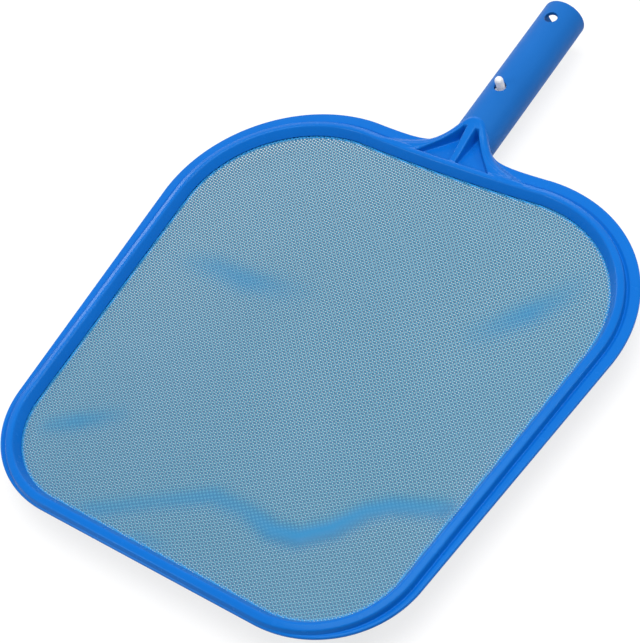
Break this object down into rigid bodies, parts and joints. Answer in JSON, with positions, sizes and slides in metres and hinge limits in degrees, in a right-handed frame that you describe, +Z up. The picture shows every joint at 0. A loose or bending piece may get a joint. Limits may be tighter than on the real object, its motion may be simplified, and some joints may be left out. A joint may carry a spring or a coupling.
{
  "type": "leaf skimmer net",
  "caption": "Flat leaf skimmer head for a pool pole: netting in a rounded moulded rim, with a ribbed neck and a tube that holds a snap-button spring clip.",
  "frame": {"origin": "on the tube's axis, between the two holes that the snap buttons stand in, where the head locks to its pole", "axes": "+Y out of the tube's mouth and away from the net, +Z up from the net's open side, +X to the right; the net lies level and the tube rises 2.7 degrees towards its mouth"},
  "size_m": [0.3156, 0.4535, 0.0417],
  "materials": {
    "blue_moulding": "glossy moulded rim, satin tube",
    "netting": "fine woven blue monofilament",
    "white_moulding": "plain moulded"
  },
  "bodies": {
    "head": {"skimmer_frame": "blue_moulding", "net": "netting", "clip_bow": "white_moulding"},
    "upper_arm": {"clip_arm_upper": "white_moulding"},
    "lower_arm": {"clip_arm_lower": "white_moulding"}
  },
  "joints": [
    {"name": "upper_button_press", "type": "hinge", "parent": "head", "child": "upper_arm", "pos_m": [0, 0.0487, 0.00734], "axis": [1, 0, 0], "range_deg": [0, 8.2], "stiffness_Nm_per_rad": 1, "springref_deg": -8.59},
    {"name": "lower_button_press", "type": "hinge", "parent": "head", "child": "lower_arm", "pos_m": [0, 0.04918, -0.00265], "axis": [-1, 0, 0], "range_deg": [0, 8.2], "stiffness_Nm_per_rad": 1, "springref_deg": -8.59}
  ]
}
